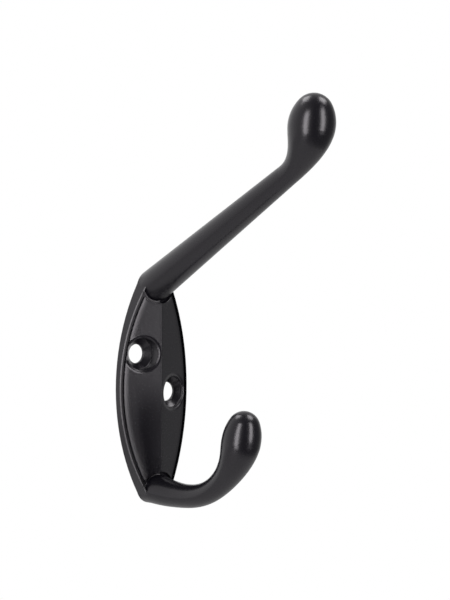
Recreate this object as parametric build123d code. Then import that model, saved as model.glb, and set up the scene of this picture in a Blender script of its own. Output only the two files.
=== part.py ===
from build123d import *
import math
import os

# Millimetres. +Z is up, +X runs along the wall, the front faces -Y and the
# origin is the centre of the flat back face, on the wall.

# Plate with a low rim
plate_half_width = 10.25
plate_edge_radius = 50.5
plate_half_height = 25.0
rim_draft = 3.0

# Ridged panel inside the rim
panel_front = 4.5
panel_step = 0.1
panel_inset = 1.15
panel_draft = 2.0
panel_edge_round = 0.5
panel_end_bevel = 0.15
rim_bevel = 0.12
facet_tilt = 16.0
ridge_round = 2.5
groove_width = 0.75
groove_depth = 0.6

# Stepped countersunk screw holes
hole_across = 4.6
upper_hole_height = 8.2
lower_hole_height = -1.2
hole_radius = 2.25
hole_wall = 0.6
sink_angle = 90.0
sink_radius = 3.6
pocket_radius = 3.8
pocket_bevel = 0.25

# Upper arm, with an egg-shaped end
upper_root_height = 23.1
upper_root_radius = 4.08
upper_rise = 29.4
neck_out = 48.2
neck_radius = 2.58
ball_out = 56.1
ball_height = 61.1
ball_radius = 5.3
ball_tip = 7.25
ball_turn = 76.0
upper_swell = 1.2

# Lower arm, with an egg-shaped end
lower_root_height = -23.5
lower_root_radius = 4.0
lower_sag = 8.5
waist_share = 0.51
waist_radius = 2.66
elbow_out = 26.3
elbow_height = -19.95
elbow_rise = 38.7
drop_out = 33.0
drop_height = -9.95
drop_radius = 4.52
drop_tip = 6.95
drop_turn = 75.0
lower_swell = 1.65

cap_share = 0.83
section_count = 9
wall_overlap = 4.0
gable_overlap = 1.0
drill_overlap = 1.0
closeness = 0.01
room = 400.0


def lens(inset):
    centre = plate_edge_radius - plate_half_width
    arc = Circle(plate_edge_radius - inset)
    shape = (Pos(centre, 0) * arc) & (Pos(-centre, 0) * arc)
    shape &= Rectangle(4 * plate_half_width, 2 * plate_half_height)
    return Plane.XZ * shape


def facet_front(front, across):
    """How far a facet stands in front of the wall, at a distance from the ridge."""
    return front - abs(across) * math.tan(math.radians(facet_tilt))


def gable(front):
    """A prism along Z under two flat facets that meet on the ridge."""
    half_width = plate_half_width + gable_overlap
    edge_front = facet_front(front, half_width)
    outline = Polyline(
        (0, -front),
        (half_width, -edge_front),
        (half_width, 2 * half_width),
        (-half_width, 2 * half_width),
        (-half_width, -edge_front),
        close=True,
    )
    return Pos(0, 0, -plate_edge_radius) * extrude(make_face(outline), 2 * plate_edge_radius)


def direction(angle):
    return Vector(0, -math.cos(math.radians(angle)), math.sin(math.radians(angle)))


def across_plane(middle, facing):
    return Plane(origin=middle, x_dir=(1, 0, 0), z_dir=facing)


def bar(path, radius_at):
    """A round bar that follows a path, its radius given along the path from 0 to 1."""
    sections = []
    for step in range(section_count):
        along = step / (section_count - 1)
        plane = across_plane(path.position_at(along), path.tangent_at(along))
        sections.append(plane * Circle(radius_at(along)))
    return loft(sections)


def tip(middle, facing, radius, length):
    """The rounded half of an egg on the end of a bar: a side arc that runs into a cap arc."""
    cap = cap_share * radius
    side = (radius**2 + length**2 - 2 * length * cap) / (2 * (radius - cap))
    turn = math.degrees(math.atan2(length - cap, side - radius))
    profile = CenterArc((radius - side, 0), side, 0, turn) + CenterArc((0, length - cap), cap, turn, 90 - turn)
    profile += Polyline((0, length), (0, 0), (radius, 0))
    half = revolve(Plane.XZ * make_face(profile), Axis.Z)
    return across_plane(middle, facing) * half


def swell(along, start, end, lateness):
    late = along**lateness
    return start + (end - start) * late * late * (3 - 2 * late)


def upper_arm(clearance=0.0):
    rise = direction(upper_rise)
    turned = direction(ball_turn)
    root = Vector(0, 0, upper_root_height)
    neck = root + rise * (neck_out / math.cos(math.radians(upper_rise)))
    ball = Vector(0, -ball_out, ball_height)
    taper = (upper_root_radius - neck_radius) / (neck - root).length
    start_radius = upper_root_radius + taper * wall_overlap
    start = across_plane(root - rise * wall_overlap, rise) * Circle(start_radius + clearance)
    end = across_plane(neck, rise) * Circle(neck_radius + clearance)

    def radius_at(along):
        return swell(along, neck_radius, ball_radius, upper_swell) + clearance

    shape = loft([start, end])
    shape += bar(Spline(neck, ball, tangents=(rise, turned)), radius_at)
    return shape + tip(ball, turned, ball_radius + clearance, ball_tip + clearance)


def lower_arm(clearance=0.0):
    sag = direction(-lower_sag)
    turned = direction(drop_turn)
    root = Vector(0, 0, lower_root_height)
    elbow = Vector(0, -elbow_out, elbow_height)
    drop = Vector(0, -drop_out, drop_height)

    def radius_at(along):
        if along < waist_share:
            flare = 1 - along / waist_share
            return waist_radius + (lower_root_radius - waist_radius) * flare**2 + clearance
        along = (along - waist_share) / (1 - waist_share)
        return swell(along, waist_radius, drop_radius, lower_swell) + clearance

    start = across_plane(root, sag)
    shape = extrude(start * Circle(lower_root_radius + clearance), -wall_overlap)
    path = Spline(root, elbow, drop, tangents=(sag, direction(elbow_rise), turned))
    shape += bar(path, radius_at)
    return shape + tip(drop, turned, drop_radius + clearance, drop_tip + clearance)


def screw_hole():
    """Straight through at the back, then a cone, then a straight pocket to the front."""
    top = 2 * panel_front
    outline = Polyline(
        (0, -drill_overlap),
        (hole_radius, -drill_overlap),
        (hole_radius, hole_wall),
        (sink_radius, shoulder_front),
        (pocket_radius, shoulder_front),
        (pocket_radius, top),
        (0, top),
        close=True,
    )
    return Rot(90, 0, 0) * revolve(Plane.XZ * make_face(outline), Axis.Z)


def soften(shape, edges, size, method):
    """Breaks the edges, by a smaller size where the full one does not fit."""
    for share in (1.0, 0.75, 0.5, 0.25):
        try:
            return method(edges, size * share)
        except (ValueError, IndexError):
            continue
    return shape


def middle_of(edge):
    return edge.position_at(0.5)


def on_facets(edge, front):
    """Whether an edge lies on the facets that stand this far out at the ridge."""
    points = [edge @ 0, middle_of(edge), edge @ 1]
    return all(abs(facet_front(front, point.X) + point.Y) < closeness for point in points)


def pocket_mouth(shape, across, height):
    """The edges where a pocket opens on the front of the panel."""
    found = []
    for edge in shape.edges():
        points = [edge @ 0, middle_of(edge), edge @ 1]
        spans = [math.hypot(point.X - across, point.Z - height) for point in points]
        on_pocket = all(abs(span - pocket_radius) < closeness for span in spans)
        if on_pocket and -middle_of(edge).Y > shoulder_front + closeness:
            found.append(edge)
    return found


rim_front = panel_front - panel_step
shoulder_front = hole_wall + (sink_radius - hole_radius) / math.tan(math.radians(sink_angle / 2))
screw_places = [(-hole_across, upper_hole_height), (hole_across, lower_hole_height)]

rim = extrude(lens(0), 2 * panel_front, taper=rim_draft) & gable(rim_front)
groove = extrude(lens(panel_inset - groove_width), 2 * panel_front)
groove -= gable(rim_front - groove_depth)
rim -= groove
crests = [edge for edge in rim.edges() if edge.length > plate_half_height and on_facets(edge, rim_front)]
rim = soften(rim, crests, rim_bevel, chamfer)

panel = extrude(lens(panel_inset), 2 * panel_front, taper=panel_draft) & gable(panel_front)
sides = [edge for edge in panel.edges() if edge.length > plate_half_height and on_facets(edge, panel_front)]
sides = [edge for edge in sides if abs(middle_of(edge).X) > closeness]
panel = soften(panel, sides, panel_edge_round, fillet)
ridge = panel.edges().filter_by(Axis.Z).sort_by(Axis.Y)[0]
panel = soften(panel, [ridge], ridge_round, fillet)
for across, height in screw_places:
    panel -= Pos(across, 0, height) * screw_hole()
mouths = [edge for across, height in screw_places for edge in pocket_mouth(panel, across, height)]
panel = soften(panel, mouths, pocket_bevel, chamfer)
panel -= upper_arm(groove_width) + lower_arm(groove_width)
panel = panel.solids().sort_by(SortBy.VOLUME)[-1]
ends = [edge for edge in panel.edges() if groove_width < edge.length < plate_half_height]
ends = [edge for edge in ends if abs(middle_of(edge).Z) > plate_half_height / 2]
ends = [edge for edge in ends if on_facets(edge, panel_front)]
panel = soften(panel, ends, panel_end_bevel, chamfer)

body = rim + upper_arm() + lower_arm() + panel
body -= Box(room, room, room, align=(Align.CENTER, Align.MIN, Align.CENTER))
for across, height in screw_places:
    body -= Pos(across, 0, height) * screw_hole()

os.makedirs("parts", exist_ok=True)
export_step(body, "parts/coat_hook.step")
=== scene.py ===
import math

import bmesh
import bpy
from mathutils import Matrix, Vector

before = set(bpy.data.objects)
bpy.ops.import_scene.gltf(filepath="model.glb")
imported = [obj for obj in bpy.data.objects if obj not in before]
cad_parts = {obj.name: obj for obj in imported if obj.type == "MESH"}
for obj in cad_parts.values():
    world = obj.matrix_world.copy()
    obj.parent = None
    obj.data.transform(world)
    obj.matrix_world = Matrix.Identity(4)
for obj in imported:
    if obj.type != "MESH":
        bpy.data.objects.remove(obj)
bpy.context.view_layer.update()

bl_info = {
    "name": "Lens-plate coat hook",
    "version": (1, 0, 0),
    "blender": (4, 5, 0),
    "location": "3D View > Sidebar > Coat hook",
    "description": "Finishes a black coated wall hook and sets a pale studio round it",
    "category": "Object",
}

PAPER_GREY = (0.4, 0.4, 0.4, 1.0)
IMAGE_SIZE = (450, 600)

# Across and height of each screw hole, in metres
POCKETS = ((-0.0046, 0.0082), (0.0046, -0.0012))
# Height, rise, radius and taper of each arm where it leaves the wall
ARM_ROOTS = ((0.0231, math.radians(29.4), 0.00408, 0.0271), (-0.0235, math.radians(-8.5), 0.004, 0.107))
# Middle and half width of the depths below the facets that count as crest and as groove; the groove band
# marks where the coating gets painted shade
CREST_BAND = (0.0001, 0.0004)
SHADED_GROOVE_BAND = (0.0004, 0.0006)
# How far the panel's wall leans in, and how close to an arm the plate's shading stops
PANEL_WALL = 0.00004
ARM_CLEARANCE = 0.0001
# Share of a surface's direction that points forward, and the shader's usual specular level
FORWARD_SHARE = 0.3
FULL_SHINE = 0.5


class HookFinish(bpy.types.PropertyGroup):
    """Black powder coating."""

    coating_colour: bpy.props.FloatVectorProperty(
        name="Coating colour",
        description="Colour of the baked coating",
        subtype="COLOR",
        size=3,
        min=0.0,
        max=1.0,
        default=(0.0044, 0.004, 0.0058),
    )
    coating_roughness: bpy.props.FloatProperty(
        name="Roughness",
        description="How far the coating spreads a reflection",
        min=0.0,
        max=1.0,
        default=0.26,
        subtype="FACTOR",
    )
    gloss_spread: bpy.props.FloatProperty(
        name="Roughness spread",
        description="How far the roughness varies to either side",
        default=0.04,
    )
    coating_index: bpy.props.FloatProperty(
        name="Coating index",
        description="Refractive index of the coating",
        default=1.5,
    )
    gloss_tint: bpy.props.FloatVectorProperty(
        name="Gloss tint",
        description="Colour of what the coating mirrors",
        subtype="COLOR",
        size=3,
        min=0.0,
        max=1.0,
        default=(1.0, 0.955, 1.0),
    )
    edge_softness: bpy.props.FloatProperty(
        name="Edge softness",
        description="How far the coating rounds the edges and fills the corners of the casting",
        default=0.0002,
        unit="LENGTH",
    )
    peel_size: bpy.props.FloatProperty(
        name="Peel size",
        description="Distance between the soft bumps of the coating",
        default=0.0009,
        unit="LENGTH",
    )
    peel_strength: bpy.props.FloatProperty(
        name="Peel strength",
        description="How strongly the soft bumps of the coating show",
        default=0.02,
    )
    grain_size: bpy.props.FloatProperty(
        name="Grain size",
        description="Distance between the fine specks of the powder",
        default=0.00025,
        unit="LENGTH",
    )
    grain_strength: bpy.props.FloatProperty(
        name="Grain strength",
        description="How strongly the fine specks of the powder show",
        default=0.03,
    )
    cloud_size: bpy.props.FloatProperty(
        name="Cloud size",
        description="Distance between slightly darker and paler areas of the coating",
        default=0.0075,
        unit="LENGTH",
    )
    cloud_dark: bpy.props.FloatProperty(
        name="Cloud dark",
        description="Share of the colour that is left in the darker areas",
        default=0.85,
    )
    cloud_pale: bpy.props.FloatProperty(
        name="Cloud pale",
        description="Share of the colour that the paler areas have",
        default=1.2,
    )


class PlateEdges(bpy.types.PropertyGroup):
    """Where the plate's edges run, and how softly the coated casting rounds them."""

    side_radius: bpy.props.FloatProperty(
        name="Side radius",
        description="Radius of the plate's two curved sides",
        default=0.0505,
        unit="LENGTH",
    )
    side_centre: bpy.props.FloatProperty(
        name="Side centre",
        description="From the ridge to the middle of each side's curve",
        default=0.04025,
        unit="LENGTH",
    )
    ridge_front: bpy.props.FloatProperty(
        name="Ridge front",
        description="How far the ridge stands in front of the wall",
        default=0.0045,
        unit="LENGTH",
    )
    facet_tilt: bpy.props.FloatProperty(
        name="Facet tilt",
        description="Slope of the two facets beside the ridge",
        default=math.radians(16.0),
        subtype="ANGLE",
    )
    facet_lean: bpy.props.FloatProperty(
        name="Facet lean",
        description="How much steeper the two facets shine than the rim beside them",
        default=0.105,
    )
    ridge_width: bpy.props.FloatProperty(
        name="Ridge width",
        description="How close to the ridge the facets still shine as if flat",
        default=0.0009,
        unit="LENGTH",
    )
    panel_inset: bpy.props.FloatProperty(
        name="Panel inset",
        description="From the plate's outline to the panel's edge",
        default=0.00115,
        unit="LENGTH",
    )
    round_width: bpy.props.FloatProperty(
        name="Round width",
        description="How much of the panel's edge shines like the facet beside it",
        default=0.0005,
        unit="LENGTH",
    )
    panel_reach: bpy.props.FloatProperty(
        name="Panel reach",
        description="How far in from its long edges the panel starts to lift",
        default=0.0012,
        unit="LENGTH",
    )
    panel_lift: bpy.props.FloatProperty(
        name="Panel lift",
        description="How steeply the panel lifts at its long edges",
        default=0.1,
    )
    end_gap: bpy.props.FloatProperty(
        name="End gap",
        description="From an arm's surface to the panel's end",
        default=0.00075,
        unit="LENGTH",
    )
    end_reach: bpy.props.FloatProperty(
        name="End reach",
        description="How far in from its scalloped ends the panel starts to lift",
        default=0.0006,
        unit="LENGTH",
    )
    end_lift: bpy.props.FloatProperty(
        name="End lift",
        description="How steeply the panel lifts at its scalloped ends",
        default=0.15,
    )
    mouth_radius: bpy.props.FloatProperty(
        name="Mouth radius",
        description="Radius at which a screw hole's pocket opens",
        default=0.00395,
        unit="LENGTH",
    )
    mouth_reach: bpy.props.FloatProperty(
        name="Mouth reach",
        description="How far from a pocket the panel starts to fall",
        default=0.0007,
        unit="LENGTH",
    )
    mouth_fall: bpy.props.FloatProperty(
        name="Mouth fall",
        description="How steeply the panel falls where a pocket opens",
        default=0.75,
    )
    # Painted shade: where the shade painted into the groove starts, measured from the plate's outline
    shaded_groove_start: bpy.props.FloatProperty(
        name="Groove start",
        description="From the plate's outline to where the groove turns dull",
        default=0.00039,
        unit="LENGTH",
    )
    # Painted shade: how much of the coating's specular level is taken away in the groove, darkening it as if
    # shade fell there
    groove_painted_shade: bpy.props.FloatProperty(
        name="Groove shade",
        description="How much of its shine the coating loses inside the groove",
        default=0.8,
    )


class Studio(bpy.types.PropertyGroup):
    """Camera, lamps and backdrop."""

    camera_distance: bpy.props.FloatProperty(
        name="Camera distance",
        description="From the middle of the plate's back to the lens",
        default=0.6,
        unit="LENGTH",
    )
    camera_azimuth: bpy.props.FloatProperty(
        name="Camera azimuth",
        description="Turn of the camera's place towards the left side",
        default=math.radians(39.0),
        subtype="ANGLE",
    )
    camera_elevation: bpy.props.FloatProperty(
        name="Camera elevation",
        description="Height of the camera's place above the horizon",
        default=math.radians(5.0),
        subtype="ANGLE",
    )
    aim_azimuth: bpy.props.FloatProperty(
        name="Aim azimuth",
        description="Direction the lens looks along, seen from above",
        default=math.radians(40.70),
        subtype="ANGLE",
    )
    aim_elevation: bpy.props.FloatProperty(
        name="Aim elevation",
        description="Dip of the lens below the horizon",
        default=math.radians(3.03),
        subtype="ANGLE",
    )
    aim_roll: bpy.props.FloatProperty(
        name="Roll",
        description="Turn of the picture about its middle",
        default=math.radians(0.12),
        subtype="ANGLE",
    )
    focal_pixels: bpy.props.FloatProperty(
        name="Focal length in pixels",
        description="Focal length of the lens, counted in pixels of the picture",
        default=2536.3,
    )
    floor_drop: bpy.props.FloatProperty(
        name="Floor below the hook",
        description="Height of the plate's middle above the floor",
        default=0.35,
        unit="LENGTH",
    )
    floor_radius: bpy.props.FloatProperty(
        name="Floor radius",
        description="Reach of the paper floor",
        default=0.8,
        unit="LENGTH",
    )
    floor_back: bpy.props.FloatProperty(
        name="Floor set back",
        description="Distance from the hook back to the middle of the paper floor",
        default=0.5,
        unit="LENGTH",
    )
    floor_lift: bpy.props.FloatProperty(
        name="Floor lift",
        description="Brightness added to the paper where the camera sees it",
        default=0.75,
    )
    reflected_lift: bpy.props.FloatProperty(
        name="Reflected lift",
        description="Brightness added to the paper where the hook mirrors it",
        default=0.2,
    )
    box_distance: bpy.props.FloatProperty(
        name="Soft box distance",
        description="From the hook to each soft box",
        default=1.0,
        unit="LENGTH",
    )
    strip_radiance: bpy.props.FloatProperty(
        name="Strip brightness",
        description="Brightness of the upright soft boxes as the hook sees them",
        default=7.4,
    )
    top_radiance: bpy.props.FloatProperty(
        name="Top brightness",
        description="Brightness of the soft boxes overhead as the hook sees them",
        default=6.0,
    )


def node_of(tree, kind, **values):
    node = tree.nodes.new(kind)
    for name, value in values.items():
        setattr(node, name, value)
    return node


def calc(tree, operation, first, second=0.0, clamp=False):
    """Output of a math node, each operand a number or another node's output."""
    node = node_of(tree, "ShaderNodeMath", operation=operation, use_clamp=clamp)
    for socket, value in zip(node.inputs, (first, second)):
        if isinstance(value, (int, float)):
            socket.default_value = value
        else:
            tree.links.new(value, socket)
    return node.outputs[0]


def total(tree, first, *others):
    for other in others:
        first = calc(tree, "ADD", first, other)
    return first


def product(tree, first, *others):
    for other in others:
        first = calc(tree, "MULTIPLY", first, other)
    return first


def length_of(tree, first, second):
    return calc(tree, "SQRT", total(tree, calc(tree, "POWER", first, 2.0), calc(tree, "POWER", second, 2.0)))


def arm_gap(tree, across, out, height, root):
    """Distance from the surface of an arm, close to where it leaves the wall."""
    root_height, rise, root_radius, taper = root
    above = calc(tree, "SUBTRACT", height, root_height)
    along = total(tree, product(tree, out, math.cos(rise)), product(tree, above, math.sin(rise)))
    beside = calc(
        tree, "SUBTRACT", product(tree, above, math.cos(rise)), product(tree, out, math.sin(rise))
    )
    radius = calc(tree, "SUBTRACT", root_radius, product(tree, along, taper))
    return calc(tree, "SUBTRACT", length_of(tree, across, beside), radius)


def pocket_gap(tree, across, height, pocket):
    """Distance from the middle of a screw hole."""
    pocket_across, pocket_height = pocket
    beside = calc(tree, "SUBTRACT", across, pocket_across)
    return length_of(tree, beside, calc(tree, "SUBTRACT", height, pocket_height))


def bend(tree, inward, reach, slope):
    """Height of a surface that is level until this far from its edge and steepest at the edge."""
    left = calc(tree, "SUBTRACT", 1.0, calc(tree, "DIVIDE", inward, reach), clamp=True)
    return product(tree, calc(tree, "POWER", left, 2.0), 0.5 * slope * reach)


def within(tree, value, middle, spread):
    return calc(tree, "LESS_THAN", calc(tree, "ABSOLUTE", calc(tree, "SUBTRACT", value, middle)), spread)


def plate_shading(tree, place, edges):
    """What rounds the plate's edges: heights over its front, its front, its level facets, and its groove,
    where painted shade goes.
    """
    split = node_of(tree, "ShaderNodeSeparateXYZ")
    tree.links.new(place, split.inputs[0])
    across = calc(tree, "ABSOLUTE", split.outputs["X"])
    out = product(tree, split.outputs["Y"], -1.0)
    height = split.outputs["Z"]
    centre_across = total(tree, across, edges.side_centre)
    inset = calc(tree, "SUBTRACT", edges.side_radius, length_of(tree, centre_across, height))
    front = calc(tree, "SUBTRACT", edges.ridge_front, product(tree, across, math.tan(edges.facet_tilt)))
    below = calc(tree, "SUBTRACT", front, out)
    arms = calc(tree, "MINIMUM", *[arm_gap(tree, across, out, height, root) for root in ARM_ROOTS])
    pockets = [pocket_gap(tree, split.outputs["X"], height, pocket) for pocket in POCKETS]
    mouth = calc(tree, "SUBTRACT", calc(tree, "MINIMUM", *pockets), edges.mouth_radius)
    side = calc(tree, "SUBTRACT", inset, edges.panel_inset)
    end = calc(tree, "SUBTRACT", arms, edges.end_gap)
    panel_gap = calc(tree, "MINIMUM", side, end)
    on_panel = calc(tree, "GREATER_THAN", panel_gap, 0.0)
    off_arms = calc(tree, "GREATER_THAN", arms, ARM_CLEARANCE)

    heights = total(
        tree,
        bend(tree, side, edges.panel_reach, edges.panel_lift),
        bend(tree, end, edges.end_reach, edges.end_lift),
        bend(tree, mouth, edges.mouth_reach, -edges.mouth_fall),
        product(tree, across, -edges.facet_lean, on_panel),
    )

    facing = node_of(tree, "ShaderNodeSeparateXYZ")
    tree.links.new(node_of(tree, "ShaderNodeNewGeometry").outputs["Normal"], facing.inputs[0])
    forward = calc(tree, "LESS_THAN", facing.outputs["Y"], -FORWARD_SHARE)
    crest = product(tree, forward, within(tree, below, *CREST_BAND), off_arms)

    outer = calc(tree, "LESS_THAN", side, edges.round_width)
    by_ridge = product(tree, calc(tree, "LESS_THAN", across, edges.ridge_width), on_panel)
    level = product(tree, crest, calc(tree, "MAXIMUM", outer, by_ridge))

    # The groove mask is where painted shade goes: the coating's shine is lowered there to stand in for the
    # shade that falls in the groove
    past_rim = calc(tree, "GREATER_THAN", inset, edges.shaded_groove_start)
    before_panel = calc(tree, "LESS_THAN", panel_gap, PANEL_WALL)
    groove = product(tree, past_rim, before_panel, off_arms, within(tree, below, *SHADED_GROOVE_BAND))
    return heights, crest, level, groove


def facet_normal(tree, place, edges):
    """The direction that the facet on this side of the ridge faces."""
    split = node_of(tree, "ShaderNodeSeparateXYZ")
    tree.links.new(place, split.inputs[0])
    normal = node_of(tree, "ShaderNodeCombineXYZ")
    side = calc(tree, "SIGN", split.outputs["X"])
    tree.links.new(product(tree, side, math.sin(edges.facet_tilt)), normal.inputs["X"])
    normal.inputs["Y"].default_value = -math.cos(edges.facet_tilt)
    return normal.outputs[0]


def coating_material(finish, plate_edges):
    """Satin powder coating: soft peel, fine grain and slightly uneven gloss."""
    material = bpy.data.materials.new("satin black coating")
    material.use_nodes = True
    tree = material.node_tree
    tree.nodes.clear()
    place = node_of(tree, "ShaderNodeTexCoord").outputs["Object"]
    output = node_of(tree, "ShaderNodeOutputMaterial")
    shader = node_of(tree, "ShaderNodeBsdfPrincipled")
    tree.links.new(shader.outputs["BSDF"], output.inputs["Surface"])
    shader.inputs["IOR"].default_value = finish.coating_index
    shader.inputs["Specular Tint"].default_value = (*finish.gloss_tint, 1.0)

    peel = node_of(tree, "ShaderNodeTexNoise", noise_dimensions="3D")
    peel.inputs["Scale"].default_value = 1.0 / finish.peel_size
    peel.inputs["Detail"].default_value = 1.5
    grain = node_of(tree, "ShaderNodeTexNoise", noise_dimensions="3D")
    grain.inputs["Scale"].default_value = 1.0 / finish.grain_size
    grain.inputs["Detail"].default_value = 3.0
    cloud = node_of(tree, "ShaderNodeTexNoise", noise_dimensions="3D")
    cloud.inputs["Scale"].default_value = 1.0 / finish.cloud_size
    cloud.inputs["Detail"].default_value = 2.0
    for texture in (peel, grain, cloud):
        tree.links.new(place, texture.inputs["Vector"])

    shade = node_of(tree, "ShaderNodeMapRange")
    shade.inputs["To Min"].default_value = finish.cloud_dark
    shade.inputs["To Max"].default_value = finish.cloud_pale
    tree.links.new(cloud.outputs["Fac"], shade.inputs["Value"])
    colour = node_of(tree, "ShaderNodeMix", data_type="RGBA", blend_type="MULTIPLY")
    colour.inputs["Factor"].default_value = 1.0
    colour.inputs["A"].default_value = (*finish.coating_colour, 1.0)
    tree.links.new(shade.outputs["Result"], colour.inputs["B"])
    tree.links.new(colour.outputs["Result"], shader.inputs["Base Color"])

    gloss = node_of(tree, "ShaderNodeMapRange")
    gloss.inputs["To Min"].default_value = finish.coating_roughness - finish.gloss_spread
    gloss.inputs["To Max"].default_value = finish.coating_roughness + finish.gloss_spread
    tree.links.new(grain.outputs["Fac"], gloss.inputs["Value"])
    tree.links.new(gloss.outputs["Result"], shader.inputs["Roughness"])

    edges = node_of(tree, "ShaderNodeBevel", samples=8)
    edges.inputs["Radius"].default_value = finish.edge_softness
    peel_bump = node_of(tree, "ShaderNodeBump")
    peel_bump.inputs["Strength"].default_value = finish.peel_strength
    peel_bump.inputs["Distance"].default_value = 0.1 * finish.peel_size
    grain_bump = node_of(tree, "ShaderNodeBump")
    grain_bump.inputs["Strength"].default_value = finish.grain_strength
    grain_bump.inputs["Distance"].default_value = 0.1 * finish.grain_size
    heights, crest, level, groove = plate_shading(tree, place, plate_edges)
    # Painted shade: the specular level drops inside the groove, darkening it as if shade fell there
    painted_groove_dimming = product(tree, groove, FULL_SHINE * plate_edges.groove_painted_shade)
    tree.links.new(calc(tree, "SUBTRACT", FULL_SHINE, painted_groove_dimming), shader.inputs["Specular IOR Level"])
    base = node_of(tree, "ShaderNodeMix", data_type="VECTOR")
    tree.links.new(level, base.inputs["Factor"])
    tree.links.new(edges.outputs["Normal"], base.inputs["A"])
    tree.links.new(facet_normal(tree, place, plate_edges), base.inputs["B"])
    edge_bump = node_of(tree, "ShaderNodeBump")
    edge_bump.inputs["Distance"].default_value = 1.0
    tree.links.new(crest, edge_bump.inputs["Strength"])
    tree.links.new(heights, edge_bump.inputs["Height"])
    tree.links.new(base.outputs["Result"], edge_bump.inputs["Normal"])
    tree.links.new(edge_bump.outputs["Normal"], peel_bump.inputs["Normal"])
    tree.links.new(peel.outputs["Fac"], peel_bump.inputs["Height"])
    tree.links.new(grain.outputs["Fac"], grain_bump.inputs["Height"])
    tree.links.new(peel_bump.outputs["Normal"], grain_bump.inputs["Normal"])
    tree.links.new(grain_bump.outputs["Normal"], shader.inputs["Normal"])
    return material


def direction_of(azimuth, elevation):
    """Unit vector from the hook, azimuth 0 being the front and growing to the left side."""
    flat = math.cos(elevation)
    return Vector((-math.sin(azimuth) * flat, -math.cos(azimuth) * flat, math.sin(elevation)))


def add_object(name, data):
    thing = bpy.data.objects.new(name, data)
    bpy.context.scene.collection.objects.link(thing)
    return thing


def paper_material(studio):
    """White paper that keeps the hook's shadow, dimmer where the hook mirrors it."""
    material = bpy.data.materials.new("pale paper")
    material.use_nodes = True
    tree = material.node_tree
    tree.nodes.clear()
    paper = node_of(tree, "ShaderNodeBsdfDiffuse")
    paper.inputs["Color"].default_value = PAPER_GREY
    lift = node_of(tree, "ShaderNodeEmission")
    path = node_of(tree, "ShaderNodeLightPath")
    reflected = node_of(tree, "ShaderNodeMath", operation="MAXIMUM")
    tree.links.new(path.outputs["Is Glossy Ray"], reflected.inputs[0])
    tree.links.new(path.outputs["Is Transmission Ray"], reflected.inputs[1])
    dimmer = node_of(tree, "ShaderNodeMath", operation="MULTIPLY")
    dimmer.inputs[1].default_value = studio.reflected_lift
    tree.links.new(reflected.outputs[0], dimmer.inputs[0])
    strength = node_of(tree, "ShaderNodeMath", operation="MULTIPLY_ADD")
    strength.inputs[1].default_value = studio.floor_lift
    tree.links.new(path.outputs["Is Camera Ray"], strength.inputs[0])
    tree.links.new(dimmer.outputs[0], strength.inputs[2])
    tree.links.new(strength.outputs[0], lift.inputs["Strength"])
    both = node_of(tree, "ShaderNodeAddShader")
    tree.links.new(paper.outputs[0], both.inputs[0])
    tree.links.new(lift.outputs[0], both.inputs[1])
    output = node_of(tree, "ShaderNodeOutputMaterial")
    tree.links.new(both.outputs[0], output.inputs["Surface"])
    return material


def area_lamp(name, azimuth, elevation, aim, width, height, radiance, distance):
    """A soft box of even brightness that faces the hook."""
    data = bpy.data.lights.new(name, "AREA")
    data.shape = "RECTANGLE"
    data.size = width
    data.size_y = height
    data.energy = radiance * math.pi * width * height
    lamp = add_object(name, data)
    back = direction_of(math.radians(azimuth), math.radians(elevation))
    lamp.location = aim + back * distance
    lamp.rotation_mode = "QUATERNION"
    lamp.rotation_quaternion = back.to_track_quat("Z", "Y")
    return lamp


class COATHOOK_OT_coat_casting(bpy.types.Operator):
    """Gives the cast hook its satin black coating"""

    bl_idname = "coat_hook.coat_casting"
    bl_label = "Coat the casting"

    def execute(self, context):
        finish = context.scene.hook_finish
        material = coating_material(finish, context.scene.hook_edges)
        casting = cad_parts["coat_hook"]
        casting.data.materials.clear()
        casting.data.materials.append(material)
        for polygon in casting.data.polygons:
            polygon.use_smooth = True
        return {"FINISHED"}


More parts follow.
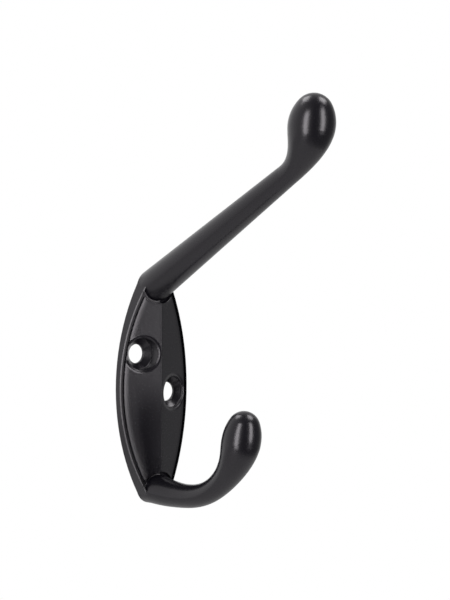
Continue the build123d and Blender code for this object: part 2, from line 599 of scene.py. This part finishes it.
class COATHOOK_OT_set_studio(bpy.types.Operator):
    """Sets the camera, the lamps and the pale floor and backdrop"""

    bl_idname = "coat_hook.set_studio"
    bl_label = "Set the studio"

    def execute(self, context):
        studio = context.scene.hook_studio
        self.set_camera(context, studio)
        self.set_backdrop(studio)
        self.set_lamps(studio)
        self.set_world(context)
        context.scene.view_settings.view_transform = "Standard"
        return {"FINISHED"}

    def set_camera(self, context, studio):
        data = bpy.data.cameras.new("camera")
        data.sensor_width = 36.0
        data.lens = data.sensor_width * studio.focal_pixels / max(IMAGE_SIZE)
        data.clip_start = 0.01
        data.clip_end = 50.0
        camera = add_object("camera", data)
        towards_lens = direction_of(studio.camera_azimuth, studio.camera_elevation)
        camera.location = towards_lens * studio.camera_distance
        looking_back = direction_of(studio.aim_azimuth, studio.aim_elevation)
        roll = Matrix.Rotation(studio.aim_roll, 4, "Z").to_quaternion()
        camera.rotation_mode = "QUATERNION"
        camera.rotation_quaternion = looking_back.to_track_quat("Z", "Y") @ roll
        context.scene.camera = camera

    def set_backdrop(self, studio):
        """A round sheet of pale paper."""
        mesh = bpy.data.meshes.new("paper floor")
        build = bmesh.new()
        bmesh.ops.create_circle(build, cap_ends=True, segments=96, radius=studio.floor_radius)
        bmesh.ops.translate(build, verts=build.verts, vec=(0.0, studio.floor_back, -studio.floor_drop))
        build.to_mesh(mesh)
        build.free()
        floor = add_object("paper_floor", mesh)
        mesh.materials.append(paper_material(studio))

    def set_lamps(self, studio):
        middle = Vector((0.0, -0.03, 0.02))
        strip = studio.strip_radiance
        top = studio.top_radiance
        # Name, azimuth and elevation in degrees, width, height and brightness
        boxes = (
            ("left strip", 72.0, 2.0, 0.36, 1.15, strip),
            ("right strip", -10.6, 5.0, 0.33, 1.0, strip),
            ("right top", -60.0, 56.0, 0.55, 0.45, top),
            ("back top", 160.0, 60.0, 0.55, 0.42, 0.85 * top),
        )
        for name, azimuth, elevation, width, height, radiance in boxes:
            lamp = area_lamp(name, azimuth, elevation, middle, width, height, radiance, studio.box_distance)

    def set_world(self, context):
        """Pale behind the hook, dim in front of it, and plain white to the camera."""
        world = bpy.data.worlds.new("studio")
        world.use_nodes = True
        tree = world.node_tree
        tree.nodes.clear()
        split = node_of(tree, "ShaderNodeSeparateXYZ")
        tree.links.new(node_of(tree, "ShaderNodeTexCoord").outputs["Generated"], split.inputs[0])
        depth = node_of(tree, "ShaderNodeMapRange")
        depth.inputs["From Min"].default_value = -1.0
        tree.links.new(split.outputs["Y"], depth.inputs["Value"])
        room = node_of(tree, "ShaderNodeValToRGB")
        # Place from the front to the back, and grey there
        stops = ((0.0, 0.03), (0.15, 0.1), (0.25, 0.17), (0.43, 0.21), (0.52, 0.42), (0.75, 0.75), (1.0, 1.0))
        while len(room.color_ramp.elements) < len(stops):
            room.color_ramp.elements.new(0.5)
        for element, (place, grey) in zip(room.color_ramp.elements, stops):
            element.position = place
            element.color = (grey, grey, grey, 1.0)
        tree.links.new(depth.outputs["Result"], room.inputs["Fac"])
        dim = node_of(tree, "ShaderNodeBackground")
        tree.links.new(room.outputs["Color"], dim.inputs["Color"])
        white = node_of(tree, "ShaderNodeBackground")
        white.inputs["Color"].default_value = (1.0, 1.0, 1.0, 1.0)
        mix = node_of(tree, "ShaderNodeMixShader")
        path = node_of(tree, "ShaderNodeLightPath")
        output = node_of(tree, "ShaderNodeOutputWorld")
        tree.links.new(path.outputs["Is Camera Ray"], mix.inputs["Fac"])
        tree.links.new(dim.outputs[0], mix.inputs[1])
        tree.links.new(white.outputs[0], mix.inputs[2])
        tree.links.new(mix.outputs[0], output.inputs["Surface"])
        context.scene.world = world


class COATHOOK_PT_sidebar(bpy.types.Panel):
    """Lists the steps and their settings"""

    bl_idname = "COATHOOK_PT_sidebar"
    bl_label = "Coat hook"
    bl_space_type = "VIEW_3D"
    bl_region_type = "UI"
    bl_category = "Coat hook"

    def draw(self, context):
        layout = self.layout
        for operator in (COATHOOK_OT_coat_casting, COATHOOK_OT_set_studio):
            layout.operator(operator.bl_idname)
        for group in (context.scene.hook_finish, context.scene.hook_edges, context.scene.hook_studio):
            box = layout.box()
            for name in group.bl_rna.properties.keys():
                if name not in ("rna_type", "name"):
                    box.prop(group, name)


CLASSES = (
    HookFinish,
    PlateEdges,
    Studio,
    COATHOOK_OT_coat_casting,
    COATHOOK_OT_set_studio,
    COATHOOK_PT_sidebar,
)


def register():
    for item in CLASSES:
        bpy.utils.register_class(item)
    bpy.types.Scene.hook_finish = bpy.props.PointerProperty(type=HookFinish)
    bpy.types.Scene.hook_edges = bpy.props.PointerProperty(type=PlateEdges)
    bpy.types.Scene.hook_studio = bpy.props.PointerProperty(type=Studio)


def unregister():
    del bpy.types.Scene.hook_studio
    del bpy.types.Scene.hook_edges
    del bpy.types.Scene.hook_finish
    for item in reversed(CLASSES):
        bpy.utils.unregister_class(item)


def main():
    register()
    bpy.ops.coat_hook.coat_casting()
    bpy.ops.coat_hook.set_studio()


if __name__ == "__main__":
    main()
